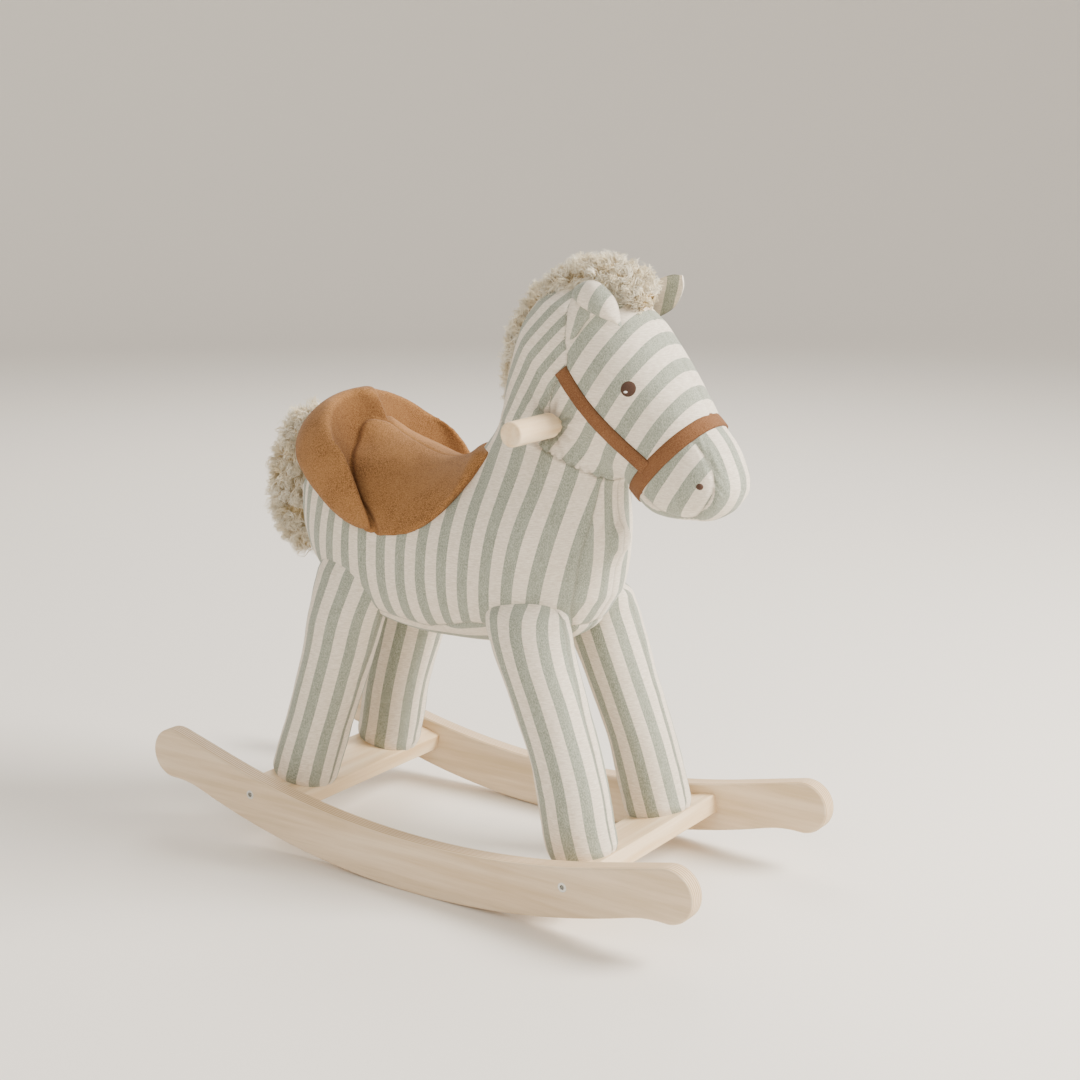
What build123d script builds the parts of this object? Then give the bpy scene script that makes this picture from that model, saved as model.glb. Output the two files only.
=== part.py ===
from build123d import *
import os
from math import atan2, cos, degrees, radians, sin, sqrt

# A plush rocking horse on a plywood rocker base.
# It is drawn level: +X to the nose, +Y to the horse's left, +Z up, with the
# rockers' lowest line at z = 0 and their middle at x = 0. At the end the whole
# horse is rolled to the nose-down tilt at which it comes to rest, and its
# origin is put at the bottom centre of its bounding box. Millimetres.

# ---- rockers and crossbars --------------------------------------------------
ROCKER_TRACK = 300.0            # over the rockers' outer faces
ROCKER_THICKNESS = 20.0         # plywood
ROLL_RADIUS = 910.0             # underside that rolls on the floor
TOP_RADIUS = 1000.0             # upper edge, over its middle stretch
ROCKER_DEPTH = 56.5             # at the middle
TOP_ARC_HALF = 250.0            # half the length of the upper arc
BULB_RADIUS = 28.0              # rounded end that stops the roll
BULB_X = 322.0
BULB_Z = 77.5
NECK_RADIUS = 115.0             # hollow between the underside and the bulb
ROCKER_EDGE = 2.5               # rounded edge
BAR_X = 190.0                   # crossbar centres, front and rear
BAR_Z = 53.0
BAR_WIDTH = 60.0
BAR_THICKNESS = 20.0
BAR_TILT = 12.2                 # degrees, square to the rocker's curve
BAR_EDGE = 2.0
BOLT_OUTBOARD = 15.0            # bolt's place across the bar, dowel opposite
BOLT_RADIUS = 3.0               # M6
BOLT_HEAD_RADIUS = 5.0
BOLT_HEAD_LENGTH = 6.0
BOLT_LENGTH = 60.0
SOCKET_RADIUS = 2.9             # hexagon socket for a 5 mm key
SOCKET_DEPTH = 4.0
NUT_RADIUS = 5.0                # barrel nut that takes the bolt
NUT_LENGTH = 14.0
DOWEL_RADIUS = 4.0
DOWEL_LENGTH = 30.0
FREE = 0.1                      # air between a piece and its hole
FAR = 2000.0                    # side of the large boxes that cut or select

# ---- wooden frame inside the horse -------------------------------------------
LEG_Y = 72.0                    # legs stand this far from the middle
LEG_FRONT_X = 178.0             # leg centres on the crossbars' tops
LEG_REAR_X = -190.0
POST_RADIUS = 10.0
POST_TOP_FRONT = (104.0, 60.0)    # middle of a post's top under the board: x, y
POST_TOP_REAR = (-127.0, 60.0)
BOARD_Z = 300.0                 # underside of the spine board
BOARD_THICKNESS = 12.0
BOARD_FRONT = 128.0
BOARD_REAR = -150.0
BOARD_HALF_WIDTH = 74.0
BOARD_CORNER = 30.0
INSERT_RADIUS = 5.0
INSERT_LENGTH = 20.0
LEG_BOLT_LENGTH = 40.0
LEG_BOLT_HEAD_RADIUS = 7.0
SCREW_RADIUS = 2.0
SCREW_HEAD_RADIUS = 4.5
SCREW_HEAD_LENGTH = 3.0
SCREW_LENGTH = 40.0
NECK_BOARD_THICKNESS = 24.0
NECK_BOARD_FRONT = 122.0        # at its lower edge
NECK_BOARD_REAR = 68.0
NECK_SCREWS = (80.0, 110.0)     # their places along X
NECK_BOARD_HEAD = ((147.0, 520.0), (205.0, 550.0), (180.0, 592.0), (112.0, 588.0), (68.0, 530.0))
HANDLE_X = 117.5
HANDLE_Z = 490.0
HANDLE_RADIUS = 12.5
HANDLE_END = 125.0              # outer end of each peg
HANDLE_SHOULDER = 58.0          # the grip starts at the neck's fabric
HANDLE_SHANK_RADIUS = 10.0
HANDLE_EDGE = 2.5
ROD_RADIUS = 4.0                # steel rod that joins the pegs
ROD_HALF = 48.0

# ---- soft parts ---------------------------------------------------------------
# places on the head are given along its axis and up from it
NOSEBAND_ALONG = 163.5
CHEEK_LOW = (160.0, -13.0)
CHEEK_HIGH = (33.0, -13.0)
EYE_AT = (95.0, 32.0)
EYE_HALF = (7.3, 7.8)
NOSTRIL_AT = (209.5, 18.0)
NOSTRIL_RADIUS = 3.4
GUSSET_WIDTH = 68.0             # panel over the nose
SKIN = 1.5                      # fabric with its backing
LEG_STUB = 12.0                 # each leg reaches this far below its foot before the bar cuts it
STRAP_THICKNESS = 1.6
STRAP_WIDTH = 15.0
THREAD = 0.8                    # height of embroidery
REST_TILT = 1.264               # degrees nose down, where the horse balances
SLIVER = 0.01                   # solids under this part of the largest are offcuts

# torso sections square to X: x, centre z, half height, half width
TORSO = [
    (-228, 352, 24, 20),
    (-220, 352, 50, 40),
    (-200, 353, 74, 58),
    (-165, 351, 88, 77),
    (-110, 344, 92, 91),
    (-50, 333, 88, 96),
    (10, 334, 89, 95),
    (65, 343, 92, 92),
    (105, 349, 91, 84),
    (132, 355, 84, 64),
    (150, 361, 66, 44),
    (161, 367, 40, 27),
    (165, 369, 18, 13),
]
# neck sections square to Z: z, centre x, half length, half width
NECK = [
    (345, 95, 58, 58),
    (400, 94, 69, 60),
    (450, 94, 69, 61),
    (490, 98, 61, 57),
    (530, 99, 56, 54),
    (570, 108, 52, 50),
    (600, 122, 42, 40),
]
# head sections square to its own axis: along, offset up, half height, half width
HEAD_BACK = Vector(112, 0, 575)
HEAD_SLOPE = 42.4               # degrees that the axis falls towards the nose
HEAD = [
    (-48, -5, 18, 18),
    (-40, -4, 36, 33),
    (-20, -1, 56, 48),
    (12, 0, 68, 56),
    (50, 0, 73, 60),
    (85, -2, 73, 59),
    (115, -1, 67, 55),
    (145, 1, 58, 50),
    (167, 1, 54, 47),
    (190, 3, 49, 46),
    (210, 6, 41, 42),
    (224, 9, 30, 34),
    (235, 9, 19, 22),
    (239, 8, 10, 11),
]
# leg sections square to Z: height above the crossbar, shift towards the middle
# of the horse along X, shift towards the middle along Y, radius
FRONT_LEG = [
    (0, 0, 0, 33),
    (16, 3, 0, 35.5),
    (80, 19, 2, 37),
    (150, 42, 5, 40),
    (205, 64, 7, 44),
    (238, 76, 10, 44),
    (254, 80, 11, 24),
]
REAR_LEG = [
    (0, 0, 0, 33),
    (16, 4, 0, 35.5),
    (80, 22, 4, 38),
    (150, 45, 7, 43),
    (205, 62, 9, 49),
    (238, 70, 11, 47),
    (254, 73, 12, 26),
]
# saddle's lower edge in the side view, front to back
SADDLE_EDGE = (
    (44, 456), (20, 412), (-20, 370), (-73, 357), (-127, 370), (-185, 398), (-256, 428))
SADDLE_TOP = 510.0
# saddle's outer sections square to X, draped over the back
SADDLE_SECTIONS = [
    (-252, 394, 22, 40),
    (-240, 390, 66, 66),
    (-215, 382, 95, 84),
    (-185, 372, 115, 95),
    (-150, 360, 132, 101),
    (-115, 352, 134, 103),
    (-85, 346, 112, 104),
    (-50, 338, 94, 103),
    (-10, 338, 97, 102),
    (20, 342, 112, 99),
    (48, 344, 128, 94),
]
SADDLE_SEAM_X = -88.0           # seam between the seat and the raised cantle
EAR_HALF = 29.0
EAR_HEIGHT = 62.0
EAR_THICKNESS = 8.0
EAR_BASE = (150.0, 34.0, 580.0)
EAR_LEAN = 24.0                 # degrees forward
# tail sections square to Z
TAIL = [
    (300, -238, 12, 12),
    (318, -244, 24, 23),
    (350, -252, 33, 30),
    (395, -256, 35, 32),
    (435, -246, 29, 28),
    (458, -234, 16, 18),
]
# mane: three points of its middle line in the side view, its radius across it
MANE_LINE = ((40, 503), (88, 622), (190, 616))
MANE_DEPTH = 27.0
MANE_HALF_WIDTH = 24.0
MANE_SECTIONS = 9
MANE_END = 0.5                  # its ends' size against its middle


def upright(radius, length):
    """A cylinder whose base centre is at the origin and which rises along Z."""
    return Cylinder(radius, length, align=(Align.CENTER, Align.CENTER, Align.MIN))


def loft_x(stations, grow=0.0):
    """A soft form through elliptical sections square to X."""
    faces = []
    for x, z, half_height, half_width in stations:
        plane = Plane(origin=(x, 0, z), x_dir=(0, 1, 0), z_dir=(1, 0, 0))
        faces.append(plane * Ellipse(half_width + grow, half_height + grow))
    return loft(faces)


def loft_z(stations, y=0.0, grow=0.0):
    """A soft form through elliptical sections square to Z."""
    faces = []
    for z, x, half_length, half_width in stations:
        plane = Plane(origin=(x, y, z), x_dir=(1, 0, 0), z_dir=(0, 0, 1))
        faces.append(plane * Ellipse(half_length + grow, half_width + grow))
    return loft(faces)


def grow_ends(stations, grow):
    """The same stations with the two end sections moved outwards by grow."""
    first = (stations[0][0] - grow,) + stations[0][1:]
    last = (stations[-1][0] + grow,) + stations[-1][1:]
    return [first] + stations[1:-1] + [last]


# ---- rocker base ----------------------------------------------------------------
def rocker_outline():
    """Side outline of a rocker: rolling arc, hollows, bulbs, straights, top arc."""
    low = Vector(0, ROLL_RADIUS)
    bulb = Vector(BULB_X, BULB_Z)
    span = (bulb - low).length
    to_hollow = ROLL_RADIUS + NECK_RADIUS
    to_bulb = BULB_RADIUS + NECK_RADIUS
    along = (to_hollow ** 2 - to_bulb ** 2 + span ** 2) / (2 * span)
    across = sqrt(to_hollow ** 2 - along ** 2)
    way = (bulb - low) / span
    side = Vector(way.Y, -way.X)
    hollow = low + way * along + side * across
    roll_end = low + (hollow - low) * (ROLL_RADIUS / to_hollow)
    bulb_low = hollow + (bulb - hollow) * (NECK_RADIUS / to_bulb)
    hollow_mid = hollow + ((roll_end + bulb_low) * 0.5 - hollow).normalized() * NECK_RADIUS
    high = Vector(0, ROCKER_DEPTH + TOP_RADIUS)
    top_end = high + Vector(TOP_ARC_HALF, -sqrt(TOP_RADIUS ** 2 - TOP_ARC_HALF ** 2))
    slope = atan2(TOP_ARC_HALF, sqrt(TOP_RADIUS ** 2 - TOP_ARC_HALF ** 2))
    bulb_top = bulb + Vector(-sin(slope), cos(slope)) * BULB_RADIUS
    bulb_tip = bulb + Vector(1, 0) * BULB_RADIUS

    def other(point):
        return Vector(-point.X, point.Y)

    edges = [ThreePointArc(other(roll_end), Vector(0, 0), roll_end)]
    for at in (lambda p: p, other):
        edges.append(ThreePointArc(at(roll_end), at(hollow_mid), at(bulb_low)))
        edges.append(ThreePointArc(at(bulb_low), at(bulb_tip), at(bulb_top)))
        edges.append(Line(at(bulb_top), at(top_end)))
    edges.append(ThreePointArc(top_end, Vector(0, ROCKER_DEPTH), other(top_end)))
    return make_face(edges)


def bar_frame(end):
    """Plane at a crossbar's centre; end is 1 at the front and -1 at the rear."""
    tilt = radians(BAR_TILT)
    up = (-end * sin(tilt), 0, cos(tilt))
    out = (end * cos(tilt), 0, sin(tilt))
    return Plane(origin=(end * BAR_X, 0, BAR_Z), x_dir=out, z_dir=up)


def across_bar(plane, offset, side, start, radius, length):
    """A cylinder along Y from the given y outwards, on the bar's middle plane."""
    centre = plane.from_local_coords((offset, 0, 0))
    y_way = (0, side, 0)
    seat = Plane(origin=(centre.X, side * start, centre.Z), x_dir=(1, 0, 0), z_dir=y_way)
    return seat * upright(radius, length)


OUTER_Y = ROCKER_TRACK / 2
INNER_Y = OUTER_Y - ROCKER_THICKNESS
SIDES = {"right": -1, "left": 1}
ENDS = {"front": 1, "rear": -1}
NUT_Y = OUTER_Y - BOLT_LENGTH + NUT_RADIUS


def base_fasteners(grow=0.0):
    """Bolts, barrel nuts and dowels of the base, or their holes when grown."""
    bolts = []
    nuts = []
    dowels = []
    for end in ENDS.values():
        plane = bar_frame(end)
        for side in SIDES.values():
            head_y = OUTER_Y - BOLT_HEAD_LENGTH
            shank = across_bar(
                plane, BOLT_OUTBOARD, side, OUTER_Y - BOLT_LENGTH - grow,
                BOLT_RADIUS + grow, BOLT_LENGTH - BOLT_HEAD_LENGTH + grow,
            )
            head = across_bar(
                plane, BOLT_OUTBOARD, side, head_y - grow,
                BOLT_HEAD_RADIUS + grow, BOLT_HEAD_LENGTH + grow + (ROCKER_THICKNESS if grow else 0),
            )
            bolts.append(shank + head)
            nut_at = plane.from_local_coords((BOLT_OUTBOARD, side * NUT_Y, 0))
            nut_plane = Plane(origin=nut_at, x_dir=plane.x_dir, z_dir=plane.z_dir)
            nuts.append(nut_plane * Cylinder(NUT_RADIUS + grow, NUT_LENGTH + 2 * grow))
            dowels.append(across_bar(
                plane, -BOLT_OUTBOARD, side, INNER_Y - DOWEL_LENGTH / 2 - grow,
                DOWEL_RADIUS + grow, DOWEL_LENGTH + 2 * grow,
            ))
    return bolts, nuts, dowels


def hex_sockets():
    """The hexagon sockets in the bolt heads' outer faces."""
    sockets = []
    for end in ENDS.values():
        centre = bar_frame(end).from_local_coords((BOLT_OUTBOARD, 0, 0))
        for side in SIDES.values():
            seat = Plane(origin=(centre.X, side * OUTER_Y, centre.Z), x_dir=(1, 0, 0), z_dir=(0, -side, 0))
            sockets.append(seat * extrude(RegularPolygon(SOCKET_RADIUS, 6), SOCKET_DEPTH))
    return sockets


def rocker_base():
    """Both rockers, both crossbars and what joins them."""
    nodes = {}
    bolts, nuts, dowels = base_fasteners()
    bolt_holes, nut_holes, dowel_holes = base_fasteners(FREE)
    board = Plane.XZ * extrude(rocker_outline(), ROCKER_THICKNESS)
    board = fillet(board.edges(), ROCKER_EDGE)
    for name, side in SIDES.items():
        rocker = Pos(0, -INNER_Y if side < 0 else OUTER_Y, 0) * board
        nodes["rocker_" + name] = rocker - bolt_holes - dowel_holes
    for name, end in ENDS.items():
        bar = Box(BAR_WIDTH, 2 * INNER_Y, BAR_THICKNESS)
        bar = fillet(bar.edges().filter_by(Axis.Y), BAR_EDGE)
        bar = bar_frame(end) * bar
        nodes["crossbar_" + name] = bar - bolt_holes - nut_holes - dowel_holes - leg_bolt_holes(end)
    nodes["rocker_bolts"] = [bolt - hex_sockets() for bolt in bolts]
    nodes["barrel_nuts"] = [nut - bolt_holes for nut in nuts]
    nodes["crossbar_dowels"] = dowels
    return nodes


# ---- wooden frame inside the horse ------------------------------------------------
def leg_foot(end, side):
    """Plane on a crossbar's top face where a leg stands, with Z up the leg."""
    plane = bar_frame(end)
    x = LEG_FRONT_X if end > 0 else LEG_REAR_X
    along = (x - plane.origin.X) / cos(radians(BAR_TILT)) * end
    across = side * LEG_Y * plane.y_dir.Y
    foot = plane.from_local_coords((along, across, BAR_THICKNESS / 2))
    return Plane(origin=foot, x_dir=plane.x_dir, z_dir=plane.z_dir)


def leg_bolt(end, side, grow=0.0):
    """Bolt up through the crossbar into the post, head under the bar."""
    under = leg_foot(end, side).offset(-BAR_THICKNESS - BOLT_HEAD_LENGTH / 2)
    head = under * upright(LEG_BOLT_HEAD_RADIUS + grow, BOLT_HEAD_LENGTH / 2)
    shank = under * upright(BOLT_RADIUS + grow, LEG_BOLT_LENGTH + BOLT_HEAD_LENGTH / 2)
    return head + shank


def leg_bolt_holes(end):
    """Clearance holes through one crossbar for its two leg bolts."""
    holes = []
    for side in SIDES.values():
        under = leg_foot(end, side).offset(-BAR_THICKNESS - 1)
        holes.append(under * upright(BOLT_RADIUS + FREE, BAR_THICKNESS + 2))
    return holes


def post_axis(end, side):
    """Plane on the crossbar where a post stands, with Z up the leaning post."""
    foot = leg_foot(end, side).origin
    x, y = POST_TOP_FRONT if end > 0 else POST_TOP_REAR
    way = Vector(x, side * y, BOARD_Z) - foot
    return Plane(origin=foot, x_dir=(0, 1, 0), z_dir=way)


def board_screw(end, side, grow=0.0):
    """Wood screw down through the spine board into a post's top."""
    lean = post_axis(end, side)
    rise = (BOARD_Z + BOARD_THICKNESS - lean.origin.Z) / lean.z_dir.Z
    seat = Plane(origin=lean.origin + lean.z_dir * rise, x_dir=(0, 1, 0), z_dir=-lean.z_dir)
    shank = seat * upright(SCREW_RADIUS + grow, SCREW_LENGTH + grow)
    head = seat * upright(SCREW_HEAD_RADIUS + grow, SCREW_HEAD_LENGTH + grow)
    slab = Pos(0, 0, BOARD_Z + BOARD_THICKNESS) * Box(
        FAR, FAR, FAR, align=(Align.CENTER, Align.CENTER, Align.MAX))
    return (shank + head) & slab


def neck_screw(x, grow=0.0):
    """Wood screw up through the spine board into the neck board's lower edge."""
    seat = Plane(origin=(x, 0, BOARD_Z), x_dir=(1, 0, 0), z_dir=(0, 0, 1))
    shank = seat * upright(SCREW_RADIUS + grow, SCREW_LENGTH + grow)
    head = seat * upright(SCREW_HEAD_RADIUS + grow, SCREW_HEAD_LENGTH + grow)
    return shank + head


def peg(side, grow=0.0):
    """One handle: a round grip outside the fabric and a thinner shank inside."""
    seat = Plane(origin=(HANDLE_X, 0, HANDLE_Z), x_dir=(1, 0, 0), z_dir=(0, side, 0))
    board_face = NECK_BOARD_THICKNESS / 2
    shank = seat.offset(board_face) * upright(
        HANDLE_SHANK_RADIUS + grow, HANDLE_SHOULDER - board_face)
    grip = upright(HANDLE_RADIUS, HANDLE_END - HANDLE_SHOULDER)
    grip = fillet(grip.edges().sort_by(Axis.Z)[-1], HANDLE_EDGE)
    return shank + seat.offset(HANDLE_SHOULDER) * grip


def handle_rod(grow=0.0):
    """Steel rod through the neck board, with one peg screwed on each end."""
    seat = Plane(origin=(HANDLE_X, 0, HANDLE_Z), x_dir=(1, 0, 0), z_dir=(0, 1, 0))
    return seat * Cylinder(ROD_RADIUS + grow, 2 * (ROD_HALF + grow))


def inner_frame():
    """Posts, boards, handle and their fasteners."""
    nodes = {}
    below_board = Pos(0, 0, BOARD_Z) * Box(
        FAR, FAR, FAR, align=(Align.CENTER, Align.CENTER, Align.MAX))
    inserts = []
    screws = []
    screw_holes = []
    bolts = []
    for end_name, end in ENDS.items():
        for side_name, side in SIDES.items():
            foot = leg_foot(end, side)
            above_bar = foot * Box(FAR, FAR, FAR, align=(Align.CENTER, Align.CENTER, Align.MIN))
            stick = post_axis(end, side).offset(-POST_RADIUS) * upright(POST_RADIUS, 320)
            post = stick & above_bar & below_board
            insert = foot * upright(INSERT_RADIUS, INSERT_LENGTH)
            post = post - foot * upright(INSERT_RADIUS + FREE, INSERT_LENGTH + FREE)
            post = post - leg_bolt(end, side, FREE) - board_screw(end, side, FREE)
            nodes["leg_post_" + end_name + "_" + side_name] = post
            inserts.append(insert - leg_bolt(end, side, FREE))
            bolts.append(leg_bolt(end, side))
            screws.append(board_screw(end, side))
            screw_holes.append(board_screw(end, side, FREE))
    for x in NECK_SCREWS:
        screws.append(neck_screw(x))
        screw_holes.append(neck_screw(x, FREE))
    board_mid = (BOARD_FRONT + BOARD_REAR) / 2
    board = Pos(board_mid, 0, BOARD_Z + BOARD_THICKNESS / 2) * Box(
        BOARD_FRONT - BOARD_REAR, 2 * BOARD_HALF_WIDTH, BOARD_THICKNESS)
    board = fillet(board.edges().filter_by(Axis.Z), BOARD_CORNER)
    nodes["spine_board"] = board - screw_holes
    bottom = BOARD_Z + BOARD_THICKNESS
    outline = Polyline(
        (NECK_BOARD_REAR, bottom), (NECK_BOARD_FRONT, bottom), *NECK_BOARD_HEAD, close=True)
    neck = Pos(0, NECK_BOARD_THICKNESS / 2, 0) * (
        Plane.XZ * extrude(make_face(outline), NECK_BOARD_THICKNESS))
    nodes["neck_board"] = neck - screw_holes - handle_rod(FREE)
    for side_name, side in SIDES.items():
        nodes["handle_" + side_name] = peg(side) - handle_rod(FREE)
    nodes["handle_rod"] = handle_rod()
    nodes["leg_bolts"] = bolts
    nodes["leg_inserts"] = inserts
    nodes["frame_screws"] = screws
    return nodes


# ---- soft body ----------------------------------------------------------------------
def body_form(grow=0.0):
    """Torso and neck as one form."""
    return loft_x(grow_ends(TORSO, grow), grow) + loft_z(NECK, grow=grow)


def head_plane():
    fall = radians(HEAD_SLOPE)
    along = Vector(cos(fall), 0, -sin(fall))
    return Plane(origin=HEAD_BACK, x_dir=(0, 1, 0), z_dir=along)


def head_form(grow=0.0):
    """Head from the poll to the nose, square to its own axis."""
    base = head_plane()
    up = Vector(sin(radians(HEAD_SLOPE)), 0, cos(radians(HEAD_SLOPE)))
    faces = []
    for along, offset, half_height, half_width in grow_ends(HEAD, grow):
        centre = HEAD_BACK + base.z_dir * along + up * offset
        plane = Plane(origin=centre, x_dir=(0, 1, 0), z_dir=base.z_dir)
        faces.append(plane * Ellipse(half_width + grow, half_height + grow))
    return loft(faces)


def leg_form(end, side, grow=0.0):
    """One stuffed leg from the crossbar up into the torso."""
    foot = leg_foot(end, side).origin
    stations = []
    for height, inward_x, inward_y, radius in (FRONT_LEG if end > 0 else REAR_LEG):
        plane = Plane(
            origin=(foot.X - end * inward_x, foot.Y - side * inward_y, foot.Z + height),
            x_dir=(1, 0, 0), z_dir=(0, 0, 1),
        )
        stations.append(plane * Ellipse(radius + grow, radius + grow))
    leg = loft(stations)
    bar = bar_frame(end)
    above = bar.offset(BAR_THICKNESS / 2) * Box(
        FAR, FAR, FAR, align=(Align.CENTER, Align.CENTER, Align.MIN))
    lowest = Plane(origin=(foot.X, foot.Y, foot.Z - LEG_STUB), x_dir=(1, 0, 0), z_dir=(0, 0, 1))
    stub = loft([
        lowest * Ellipse(FRONT_LEG[0][3] + grow, FRONT_LEG[0][3] + grow), stations[0],
    ])
    return (leg + stub) & above


def saddle_form():
    """Saddle before the horse is cut out of it: side outline through outer form."""
    outline = [
        Spline(*SADDLE_EDGE),
        Polyline(SADDLE_EDGE[-1], (SADDLE_EDGE[-1][0], SADDLE_TOP), (SADDLE_EDGE[0][0], SADDLE_TOP), SADDLE_EDGE[0]),
    ]
    side = Plane.XZ * extrude(make_face(outline), FAR)
    return loft_x(SADDLE_SECTIONS) & (Pos(0, FAR / 2, 0) * side)


def mane_form():
    """Fur roll from the back of the neck over the poll to the forehead."""
    line = ThreePointArc(*[Vector(x, 0, z) for x, z in MANE_LINE])
    faces = []
    for step in range(MANE_SECTIONS):
        at = step / (MANE_SECTIONS - 1)
        size = MANE_END + (1 - MANE_END) * sqrt(1 - (2 * at - 1) ** 4)
        plane = Plane(origin=line @ at, x_dir=(0, 1, 0), z_dir=line % at)
        faces.append(plane * Ellipse(MANE_HALF_WIDTH * size, MANE_DEPTH * size))
    return loft(faces)


def ear_form():
    """One ear: a pointed leaf."""
    leaf = make_face([
        Spline((-EAR_HALF, 0), (-EAR_HALF, 22), (0, EAR_HEIGHT)),
        Spline((0, EAR_HEIGHT), (EAR_HALF, 22), (EAR_HALF, 0)),
        Line((EAR_HALF, 0), (-EAR_HALF, 0)),
    ])
    return extrude(leaf, EAR_THICKNESS)


def half_space(side):
    """A large box that fills one side of the horse's middle plane."""
    align_y = Align.MIN if side > 0 else Align.MAX
    return Box(FAR, FAR, FAR, align=(Align.CENTER, align_y, Align.CENTER))


def band(point, way, width, thickness_dir=(0, 1, 0)):
    """A wide slab centred on a line of the side view, width across that line."""
    length = way.length
    middle = point + way * 0.5
    plane = Plane(origin=middle, x_dir=way.normalized(), z_dir=thickness_dir)
    return plane * Box(length, width, FAR)


def head_point(along, up):
    """A point of the head's middle plane from its own axis."""
    fall = radians(HEAD_SLOPE)
    x = HEAD_BACK.X + along * cos(fall) + up * sin(fall)
    z = HEAD_BACK.Z - along * sin(fall) + up * cos(fall)
    return Vector(x, 0, z)


def head_trim(head, body):
    """Straps, eyes and nostrils, each lying on the head's skin."""
    nodes = {}
    strap_layer = head_form(STRAP_THICKNESS) - head - body
    thread_layer = head_form(THREAD) - head
    base = head_plane()
    ring = Plane(origin=HEAD_BACK + base.z_dir * NOSEBAND_ALONG, x_dir=(0, 1, 0), z_dir=base.z_dir)
    noseband = strap_layer & (ring * Box(FAR, FAR, STRAP_WIDTH))
    nodes["noseband"] = noseband
    low = head_point(*CHEEK_LOW)
    high = head_point(*CHEEK_HIGH)
    cheek = (strap_layer & band(low, high - low, STRAP_WIDTH)) - ring * Box(FAR, FAR, STRAP_WIDTH)
    for name, side in SIDES.items():
        nodes["cheek_strap_" + name] = cheek & half_space(side)
        for part, at, half in (
            ("eye_", EYE_AT, EYE_HALF),
            ("nostril_", NOSTRIL_AT, (NOSTRIL_RADIUS, NOSTRIL_RADIUS)),
        ):
            spot = head_point(*at)
            prism = Plane(origin=spot, x_dir=(1, 0, 0), z_dir=(0, side, 0)) * extrude(Ellipse(*half), FAR)
            nodes[part + name] = thread_layer & prism
    return nodes


def soft_parts(frame):
    """Stuffing, covers, saddle, straps, fur and embroidery."""
    nodes = {}
    wood = list(frame.values())
    solids = []
    for item in wood:
        solids.extend(item if isinstance(item, list) else [item])
    body = body_form()
    body_core = body_form(-SKIN)
    head = head_form()
    head_core = head_form(-SKIN)
    shell = (body - body_core) - solids
    for name, side in SIDES.items():
        nodes["body_cover_" + name] = shell & half_space(side)
    nodes["body_stuffing"] = body_core - solids
    head_shell = (head - head_core) - body - solids
    gusset = Box(FAR, GUSSET_WIDTH, FAR)
    for name, side in SIDES.items():
        nodes["head_side_" + name] = (head_shell - gusset) & half_space(side)
    nodes["head_gusset"] = head_shell & gusset
    nodes["head_stuffing"] = head_core - body - solids
    for end_name, end in ENDS.items():
        for side_name, side in SIDES.items():
            leg = leg_form(end, side) - body
            core = leg_form(end, side, -SKIN) - body
            name = end_name + "_" + side_name
            nodes["leg_cover_" + name] = (leg - core) - solids
            nodes["leg_stuffing_" + name] = core - solids
    saddle = saddle_form() - body
    split = Pos(SADDLE_SEAM_X, 0, 0) * Box(FAR, FAR, FAR, align=(Align.MIN, Align.CENTER, Align.CENTER))
    nodes["saddle_seat"] = saddle & split
    nodes["saddle_cantle"] = saddle - split
    nodes["mane"] = mane_form() - body - head - solids
    nodes["tail"] = loft_z(TAIL) - body - saddle
    nodes.update(head_trim(head, body))
    ear = ear_form()
    for name, side in SIDES.items():
        lean = radians(EAR_LEAN)
        base = Vector(EAR_BASE[0], side * EAR_BASE[1], EAR_BASE[2])
        placed = Plane(origin=base, x_dir=(-side * cos(lean), 0, side * sin(lean)), z_dir=(0, side, 0)) * ear
        nodes["ear_" + name] = placed - head - body - nodes["mane"]
    return nodes


# ---- put the horse at rest and write it ---------------------------------------------
def rest_place():
    """Roll about the rocking arc's centre, then centre the bounding box on X."""
    shift = -sin(radians(REST_TILT)) * (BULB_Z - ROLL_RADIUS)
    return Pos(shift, 0, ROLL_RADIUS) * Rot(0, REST_TILT, 0) * Pos(0, 0, -ROLL_RADIUS)


def solids_of(item):
    """Every solid of a part or of a list of parts, without slivers left by a cut."""
    found = []
    for shape in (item if isinstance(item, list) else [item]):
        found.extend(shape.solids())
    least = SLIVER * max(solid.volume for solid in found)
    return [solid for solid in found if solid.volume > least]


def main():
    os.makedirs("parts", exist_ok=True)
    place = rest_place()
    frame = inner_frame()
    nodes = rocker_base()
    nodes.update(frame)
    nodes.update(soft_parts(frame))
    for name, item in nodes.items():
        solids = [place * solid for solid in solids_of(item)]
        shape = solids[0] if len(solids) == 1 else Compound(children=solids)
        shape.label = name
        export_step(shape, "parts/" + name + ".step")


main()
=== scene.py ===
import bpy
import numpy as np
from math import cos, pi, radians, sin
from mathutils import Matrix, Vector, noise
from mathutils.bvhtree import BVHTree


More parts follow.
